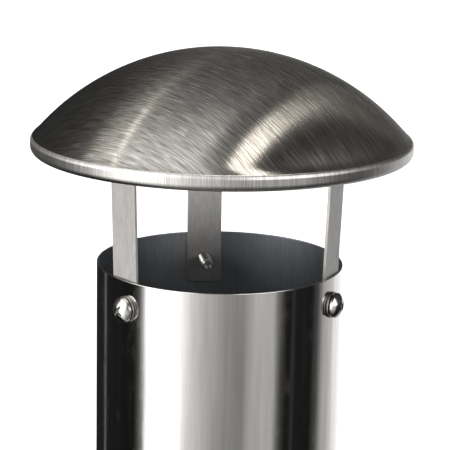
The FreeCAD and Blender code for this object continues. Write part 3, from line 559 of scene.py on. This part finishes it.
def finished(name: str, mesh: bmesh.types.BMesh, body: str, nodes: list[str],
             finishes: list[Finish], crisp: float = 50.0) -> bpy.types.Object:
    """Makes an object of a mesh, dresses it and ties it to its body.

    Args:
        name: Name of the piece.
        mesh: The mesh, which is used up.
        body: Body that it rides on.
        nodes: CAD nodes that it stands for.
        finishes: Its finishes, by the faces' material number.
        crisp: Edges that turn more than this many degrees are shaded as edges.

    Returns:
        The new object.
    """
    for face in mesh.faces:
        face.smooth = True
    for edge in mesh.edges:
        edge.smooth = edge.calc_face_angle(math.pi) < math.radians(crisp)
    data = bpy.data.meshes.new(name)
    mesh.to_mesh(data)
    mesh.free()
    for finish in finishes:
        data.materials.append(finish.material())
    piece = bpy.data.objects.new(name, data)
    bpy.context.scene.collection.objects.link(piece)
    even = piece.modifiers.new("even_shading", "WEIGHTED_NORMAL")
    even.keep_sharp = True
    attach(piece, body)
    if nodes:
        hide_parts(*nodes)
    LOG.info("%s: %d faces on %s", name, len(data.polygons), body)
    return piece


# ------------------------------------------------------------------------------------ flue top


@dataclass
class RainCap:
    """The spun dome, dished out slightly above its rolled edge."""

    radius: float = 118.85 * MM
    sheet: float = 1.0 * MM
    dish: float = 88.0 * MM
    shoulder: float = 91.0 * MM
    reach: float = 92.05 * MM
    curl: float = 3.2 * MM
    turn_in: float = 3.9 * MM
    fall: float = 2.9 * MM
    fall_steps: tuple[tuple[float, float], ...] = ((0.25, 0.27), (0.5, 0.53), (0.75, 0.77), (1.0, 1.0))
    roll_start: float = math.radians(40)
    strokes: float = math.radians(-38) + CAMERA_BEARING

    def build(self) -> bpy.types.Object:
        """Turns the cap and maps its brushing."""
        low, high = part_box("rain_cap")
        middle = high.z - self.radius
        slope = math.asin(self.dish / self.radius)
        dish_z = middle + self.radius * math.cos(slope)
        # The dome falls from its dished edge to the crease, then rolls from that slope to upright.
        roll = (self.reach - self.shoulder) / (1 - math.sin(self.roll_start))
        top_z = dish_z - self.fall
        upright_z = top_z - roll * math.cos(self.roll_start)
        pen = Outline(0.0, high.z).arc(0.0, middle, -math.degrees(slope), 60)
        for out, down in self.fall_steps:
            pen.line(self.dish + out * (self.shoulder - self.dish), dish_z - down * self.fall)
        pen.arc(self.reach - roll, upright_z, math.degrees(self.roll_start) - 90, 10)
        pen.line(self.reach, low.z + self.curl).arc(self.reach - self.curl, low.z + self.curl, -90, 10)
        pen.line(self.reach - self.turn_in, low.z).line(self.reach - self.turn_in, low.z + self.sheet)
        pen.line(self.reach - self.curl, low.z + self.sheet)
        pen.arc(self.reach - self.curl, low.z + self.curl, 90, 6)
        pen.line(self.reach - self.sheet, upright_z).line(self.shoulder - 1.2 * self.sheet, top_z)
        inside = self.radius - self.sheet
        edge = math.asin((self.dish - self.sheet) / inside)
        pen.line(inside * math.sin(edge), middle + inside * math.cos(edge))
        pen.arc(0.0, middle, math.degrees(edge), 40)
        mesh = pen.turned(192, closed=False)
        self.map_strokes(mesh, top_z)
        return finished("rain_cap_spun", mesh, "stove", ["rain_cap"],
                        [BRUSHED, EDGE_BRUSHED], 70)

    def map_strokes(self, mesh: bmesh.types.BMesh, top: float) -> None:
        """Lays brush_map flat from above on the dome, and round the rim on its rolled edge.

        Args:
            mesh: The cap's mesh.
            top: Height where the rolled edge begins.
        """
        layer = mesh.loops.layers.uv.new("brush_map")
        along = Vector((math.cos(self.strokes), math.sin(self.strokes)))
        across = Vector((along.y, -along.x))
        for face in mesh.faces:
            middle = face.calc_center_median()
            rolled = middle.z < top and middle.xy.length > self.shoulder - 1.5 * self.sheet
            face.material_index = int(rolled)
            centre = math.atan2(middle.y, middle.x)
            for loop in face.loops:
                flat = loop.vert.co.xy
                if rolled:
                    swing = math.remainder(math.atan2(flat.y, flat.x) - centre, math.tau)
                    loop[layer].uv = ((centre + swing) * self.reach, loop.vert.co.z)
                else:
                    loop[layer].uv = (flat.dot(across), flat.dot(along))


@dataclass
class CapHolders:
    """The three straps with their screws and washers."""

    spread: float = 55.0
    seat: float = 61.7 * MM
    drop: float = 13.6 * MM
    core: float = 2.5 * MM
    crest: float = 3.0 * MM
    pitch: float = 1.0 * MM
    length: float = 20 * MM
    thread_start: float = 1.6 * MM
    overlap: float = 0.2 * MM
    turn_steps: int = 24
    cup_depth: float = 2.4 * MM
    cup_floor: float = 1.2 * MM
    cup_mouth: float = 1.85 * MM
    lead: float = 0.5 * MM

    def straps(self) -> None:
        """Straps of rolled strip with their sheared edges broken."""
        for place in Place:
            node = f"cap_strap_{place.value}"
            finished(f"{node}_strip", eased(node, 0.25 * MM), "stove", [node],
                     [STRIP])

    def screw(self, place: Place, rim: float) -> None:
        """A pan-head screw: the head with its recess, and a rolled thread with a cupped end.

        Args:
            place: Where it sits.
            rim: Height of the flue's rim.
        """
        node = f"strap_screw_{place.value}"
        aim = outward(place.bearing(self.spread))
        seat = aim * self.seat + Vector((0, 0, rim - self.drop))
        mesh = eased(node, 0.12 * MM, 2, 35)
        bmesh.ops.bisect_plane(mesh, geom=mesh.verts[:] + mesh.edges[:] + mesh.faces[:],
                               plane_co=seat - aim * self.overlap, plane_no=aim, clear_inner=True)
        tip = -self.length
        shank = bmesh.new()
        ridge = [shank.verts.new((self.crest, 0, tip + self.thread_start))]
        for radius, rise in ((self.core, 0.5), (self.crest, 1.0)):
            ridge += bmesh.ops.extrude_vert_indiv(shank, verts=ridge[-1:])["verts"]
            ridge[-1].co = (radius, 0, ridge[0].co.z + rise * self.pitch)
        turns = int((self.length - self.thread_start) / self.pitch)
        steps = self.turn_steps * turns
        bmesh.ops.spin(shank, geom=shank.verts[:] + shank.edges[:], cent=(0, 0, 0), axis=(0, 0, 1),
                       dvec=(0, 0, self.pitch * turns / steps), angle=math.tau * turns, steps=steps,
                       use_merge=False, use_duplicate=False)
        bmesh.ops.remove_doubles(shank, verts=shank.verts, dist=MERGE)
        blunt = self.crest - 0.3 * self.lead
        pen = Outline(0.0, tip + self.cup_depth).line(self.cup_floor, tip + self.cup_depth)
        pen.line(self.cup_mouth, tip).line(self.core - 0.2 * self.lead, tip)
        pen.line(blunt, tip + self.lead).line(blunt, tip + self.thread_start + 0.2 * self.lead)
        pen.line(self.core, tip + self.thread_start + 1.2 * self.lead).line(self.core, 0.0)
        core = pen.line(0.0, 0.0).turned(32, closed=False)
        turn = Vector((0, 0, 1)).rotation_difference(aim).to_matrix().to_4x4()
        for part in (shank, core):
            for face in part.faces:
                face.material_index = 1
            bmesh.ops.transform(part, matrix=Matrix.Translation(seat) @ turn, verts=part.verts)
            scratch = bpy.data.meshes.new("scratch")
            part.to_mesh(scratch)
            part.free()
            mesh.from_mesh(scratch)
            bpy.data.meshes.remove(scratch)
        finished(f"{node}_pan_head", mesh, "stove", [node], [BRIGHT, THREAD], 40)

    def build(self, rim: float) -> None:
        """Builds all three holders.

        Args:
            rim: Height of the flue's rim.
        """
        self.straps()
        for place in Place:
            self.screw(place, rim)
        for node, finish in (("strap_flat_washers", BLANKED), ("strap_lock_washers", SPRING)):
            finished(f"{node}_stamped", eased(node, 0.2 * MM), "stove", [node], [finish])


@dataclass
class Flue:
    """The upper pipe, bright outside and mill-finished inside, on the lower pipe and its spigot."""

    wall: float = 0.8 * MM

    def build(self) -> None:
        """Builds the pipes and dresses the joints below them."""
        low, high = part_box("flue_pipe_upper")
        outer = high.x
        pen = Outline(outer, low.z).line(outer, high.z - self.wall / 2)
        pen.arc(outer - self.wall / 2, high.z - self.wall / 2, 180, 8).line(outer - self.wall, low.z)
        mesh = pen.turned(192)
        for face in mesh.faces:
            face.material_index = int(face.calc_center_median().xy.length < outer - 0.6 * self.wall)
        finished("flue_pipe_upper_rolled", mesh, "stove", ["flue_pipe_upper"],
                 [POLISHED, MILL])
        for node, slot, finish in (("flue_pipe_lower", "polished_stainless", POLISHED),
                                   ("flue_spigot", "satin_stainless", SATIN_UPRIGHT),
                                   ("flue_collar", "satin_stainless", SATIN),
                                   ("collar_set_screws", "bright_screw", BRIGHT)):
            finished(f"{node}_turned", eased(node, 0.3 * MM), "stove", [node], [finish])


# ------------------------------------------------------------------------------------ stove


@dataclass
class SheetWork:
    """A group of plain parts that take only broken edges and a finish."""

    body: str
    slot: str
    finish: Finish
    nodes: tuple[str, ...]
    edge: float = 0.5 * MM
    segments: int = 2

    def build(self) -> None:
        """Builds one piece for each node."""
        for node in self.nodes:
            finished(f"{node}_finished", eased(node, self.edge, self.segments), self.body, [node],
                     [self.finish])


@dataclass
class Stove:
    """Everything below the flue: hood, firebox, door with latch, ash drawer and stand."""

    sides: tuple[str, ...] = ("left", "right", "rear")

    def groups(self) -> list[SheetWork]:
        """The stove's parts, by body and finish."""
        hood = tuple(f"hood_panel_{side}" for side in ("front",) + self.sides)
        panels = tuple(f"firebox_panel_{side}" for side in self.sides) + ("firebox_front",)
        bricks = tuple(f"firebrick_{side}" for side in self.sides)
        legs = tuple(f"leg_{end}_{side}" for end in ("front", "rear") for side in ("left", "right"))
        brackets = ("hinge_bracket_lower", "hinge_bracket_upper")
        runners = ("latch_keeper", "drawer_runner_left", "drawer_runner_right")
        return [
            SheetWork("stove", "satin_stainless", SATIN_SHEET, hood + panels + brackets, 0.6 * MM, 3),
            SheetWork("stove", "satin_stainless", SATIN_FLAT,
                      ("hood_top_plate", "firebox_bottom", "firebox_deck", "base_plate"), 0.8 * MM, 3),
            SheetWork("stove", "satin_stainless", SATIN_UPRIGHT, legs, 1.5 * MM, 4),
            SheetWork("stove", "strap_stainless", STRIP, runners, 0.4 * MM),
            SheetWork("stove", "bright_screw", BRIGHT, ("hinge_pin_lower", "hinge_pin_upper"), 0.4 * MM),
            SheetWork("stove", "cast_iron", IRON, ("fire_grate",), 1.0 * MM, 3),
            SheetWork("stove", "firebrick", BRICK, bricks, 1.5 * MM, 3),
            SheetWork("stove", "foot_rubber", RUBBER, ("base_feet",), 1.0 * MM, 3),
            SheetWork("door", "satin_stainless", SATIN_SHEET,
                      ("door_plate", "hinge_eye_lower", "hinge_eye_upper"), 0.7 * MM, 3),
            SheetWork("door", "ceramic_glass", GLASS, ("door_glass",), 0.4 * MM),
            SheetWork("door", "strap_stainless", STRIP, ("glass_clips",), 0.3 * MM),
            SheetWork("door", "rope_seal", ROPE, ("door_seal",), 1.6 * MM, 4),
            SheetWork("latch", "bright_screw", BRIGHT, ("latch_spindle",), 0.4 * MM),
            SheetWork("latch", "strap_stainless", STRIP, ("latch_catch", "latch_lever"), 0.5 * MM, 3),
            SheetWork("latch", "turned_wood", BEECH, ("lever_grip",), 0.8 * MM, 3),
            SheetWork("ash_drawer", "strap_stainless", STRIP,
                      ("ash_tray", "air_slide_guides"), 0.4 * MM),
            SheetWork("ash_drawer", "satin_stainless", SATIN_SHEET,
                      ("ash_drawer_front", "ash_drawer_pull"), 0.6 * MM, 3),
            SheetWork("air_control", "strap_stainless", STRIP, ("air_slide",), 0.3 * MM),
            SheetWork("air_control", "turned_wood", BEECH_KNOB, ("air_slide_knob",), 0.6 * MM, 3),
        ]

    def build(self) -> None:
        """Builds every group."""
        for group in self.groups():
            group.build()


# ------------------------------------------------------------------------------------ studio


@dataclass(frozen=True)
class Strip:
    """A soft ceiling light between two points, seen with the camera in front.

    Its ends and width are given for a ceiling one metre above the cap.
    """

    name: str
    start: tuple[float, float]
    stop: tuple[float, float]
    width: float
    radiance: float


@dataclass
class Studio:
    """Camera, lights, floor and surroundings."""

    lens: float = 152.5
    distance: float = 0.9009
    above_rim: float = 0.2378
    yaw: float = math.radians(-0.139)
    pitch: float = math.radians(-13.716)
    roll: float = math.radians(1.099)
    sensor: float = 36.0
    ceiling: float = 1.4
    aim: float = 0.08
    warm_white: str = "fffaf2"
    floor_radius: float = 40.0
    strips: tuple[Strip, ...] = (
        Strip("strip_left", (-0.54, 0.38), (-0.90, -0.02), 0.045, 3.2),
        Strip("strip_haze", (-0.90, 0.40), (-1.15, 0.05), 0.3, 0.9),
        Strip("strip_far", (-0.42, 0.60), (-0.62, 0.34), 0.26, 0.35),
        Strip("strip_over", (0.10, -0.44), (0.25, -0.04), 0.15, 5.4),
        Strip("strip_behind", (0.25, -0.04), (0.50, 0.58), 0.15, 0.6),
        Strip("strip_back", (0.48, 0.58), (0.75, 1.6), 0.2, 0.2),
    )

    def camera(self, rim: float) -> None:
        """Places the camera, a little left of the front and above the rim.

        Args:
            rim: Height of the flue's rim.
        """
        data = bpy.data.cameras.new("camera")
        data.lens = self.lens
        data.sensor_width = self.sensor
        camera = bpy.data.objects.new("camera", data)
        bpy.context.scene.collection.objects.link(camera)
        turn = Matrix.Rotation(CAMERA_BEARING, 3, "Z")
        ahead = Vector((-math.sin(self.yaw) * math.cos(self.pitch),
                        math.cos(self.yaw) * math.cos(self.pitch), math.sin(self.pitch)))
        level = Vector((math.cos(self.yaw), math.sin(self.yaw), 0.0))
        upright = level.cross(ahead)
        right = math.cos(self.roll) * level + math.sin(self.roll) * upright
        up = -math.sin(self.roll) * level + math.cos(self.roll) * upright
        axes = Matrix((turn @ right, turn @ up, turn @ -ahead)).transposed()
        place = outward(CAMERA_BEARING) * self.distance + Vector((0, 0, rim + self.above_rim))
        camera.matrix_world = Matrix.Translation(place) @ axes.to_4x4()
        bpy.context.scene.camera = camera

    def surroundings(self) -> None:
        """White to the eye; to the metal, a dark studio with pale cards round the camera.

        Each row of cards gives brightness by bearing in degrees from the camera, positive to the right:
        one row at eye level and below, one above it, and one for the ceiling.
        """
        world = bpy.data.worlds.new("studio")
        bpy.context.scene.world = world
        world.use_nodes = True
        tree = world.node_tree
        tree.nodes.clear()
        low = {-180: .02, -136: .02, -132: .25, -129: .02, -84: .012, -78: .15, -73.6: .68, -69: 2.6,
               -38: 2.6, -35: 1.7, -27: 1.2, -22: .95, -10: .68, 4: .47, 14: .38, 22: .38, 30: .6,
               34: .68, 52: .68, 56: .3, 60: .1, 66: .015, 71: .015, 73: .06, 76: .02, 96: .015,
               105: .09, 110: .3, 116: .6, 131: .78, 139: 1.2, 180: 1.4}
        middle = {-180: .03, -135: .06, -118: .08, -104: .2, -94: .8, -84: 2.6, -28: 2.6, -20: .6,
                  -10: .3, 12: .3,
                  20: 2.2, 62: 2.2, 72: .2, 85: .06, 180: .04}
        high = {-180: .06, -135: .09, -110: .3, -88: 1.4, -40: 1.4, -20: .4, 0: .1, 40: .04, 180: .03}
        place = add_node(tree, "TexCoord", output="Object")
        turned = add_node(tree, "VectorRotate", {"rotation_type": "Z_AXIS", "Angle": -CAMERA_BEARING},
                          {"Vector": place})
        across = add_node(tree, "SeparateXYZ", links={0: turned}, output="X")
        back = add_node(tree, "SeparateXYZ", links={0: turned}, output="Y")
        height = add_node(tree, "SeparateXYZ", links={0: turned}, output="Z")
        ahead = add_node(tree, "Math", {"operation": "MULTIPLY", 1: -1.0}, {0: back})
        angle = add_node(tree, "Math", {"operation": "ARCTAN2"}, {0: across, 1: ahead})
        bearing = add_node(tree, "MapRange", {"From Min": -math.pi, "From Max": math.pi},
                           {"Value": angle})
        rows = [add_node(tree, "ValToRGB", {"stops": {(a + 180) / 360: v for a, v in row.items()}},
                         {"Fac": bearing}) for row in (low, middle, high)]
        lift = add_node(tree, "MapRange", {"interpolation_type": "SMOOTHSTEP", "From Min": -0.1,
                                           "From Max": 0.1}, {"Value": height})
        roof = add_node(tree, "MapRange", {"interpolation_type": "SMOOTHSTEP", "From Min": 0.62,
                                           "From Max": 0.9}, {"Value": height})
        ground = add_node(tree, "MapRange", {"From Min": -1.0, "From Max": -0.25, "To Min": 0.04},
                          {"Value": height})
        wall = add_node(tree, "Mix", {"data_type": "RGBA"}, {0: lift, 6: rows[0], 7: rows[1]}, 2)
        room = add_node(tree, "Mix", {"data_type": "RGBA"}, {0: roof, 6: wall, 7: rows[2]}, 2)
        dark = add_node(tree, "Background", links={"Color": room, "Strength": ground})
        white = add_node(tree, "Background", {"Color": linear("ffffff"), "Strength": 1.05})
        seen = add_node(tree, "LightPath", output="Is Camera Ray")
        mixed = add_node(tree, "MixShader", links={0: seen, 1: dark, 2: white})
        add_node(tree, "OutputWorld", links={"Surface": mixed})

    def hang(self, strip: Strip, target: Vector) -> None:
        """Hangs a strip under the ceiling and aims it at a target.

        Args:
            strip: The strip.
            target: Point that it faces.
        """
        turn = Matrix.Rotation(CAMERA_BEARING, 3, "Z")
        first, last = (turn @ (target + Vector((x, y, 1.0)) * self.ceiling)
                       for x, y in (strip.start, strip.stop))
        data = bpy.data.lights.new(strip.name, "AREA")
        data.shape = "RECTANGLE"
        data.size = (last - first).length
        data.size_y = strip.width * self.ceiling
        data.color = linear(self.warm_white)[:3]
        data.energy = strip.radiance * math.pi * data.size * data.size_y
        light = bpy.data.objects.new(strip.name, data)
        bpy.context.scene.collection.objects.link(light)
        middle = (first + last) / 2
        along = (last - first).normalized()
        side = (middle - target).normalized().cross(along).normalized()
        axes = Matrix((along, side, along.cross(side))).transposed()
        light.matrix_world = Matrix.Translation(middle) @ axes.to_4x4()
        light.visible_camera = False

    def floor(self) -> None:
        """A large pale floor that fades into the white surroundings."""
        mesh = bmesh.new()
        bmesh.ops.create_circle(mesh, cap_ends=True, segments=96, radius=self.floor_radius)
        data = bpy.data.meshes.new("floor")
        mesh.to_mesh(data)
        mesh.free()
        floor = bpy.data.objects.new("floor", data)
        bpy.context.scene.collection.objects.link(floor)
        paint = bpy.data.materials.new("painted_board_white")
        paint.use_nodes = True
        paint.node_tree.nodes.clear()
        shader = add_node(paint.node_tree, "BsdfPrincipled",
                          {"Base Color": linear("f3f3f3"), "Roughness": 0.9,
                           "Emission Color": linear("ffffff"), "Emission Strength": 0.8})
        add_node(paint.node_tree, "OutputMaterial", links={"Surface": shader})
        data.materials.append(paint)
        floor.visible_glossy = False


def main() -> None:
    """Builds the pieces in order and the studio round them."""
    logging.basicConfig(level=logging.INFO, format="%(name)s: %(message)s")
    bpy.context.scene.view_settings.view_transform = "Standard"
    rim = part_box("flue_pipe_upper")[1].z
    RainCap().build()
    CapHolders().build(rim)
    Flue().build()
    Stove().build()
    studio = Studio()
    studio.camera(rim)
    studio.surroundings()
    for strip in studio.strips:
        studio.hang(strip, Vector((0, 0, rim + studio.aim)))
    studio.floor()


if __name__ == "__main__":
    main()
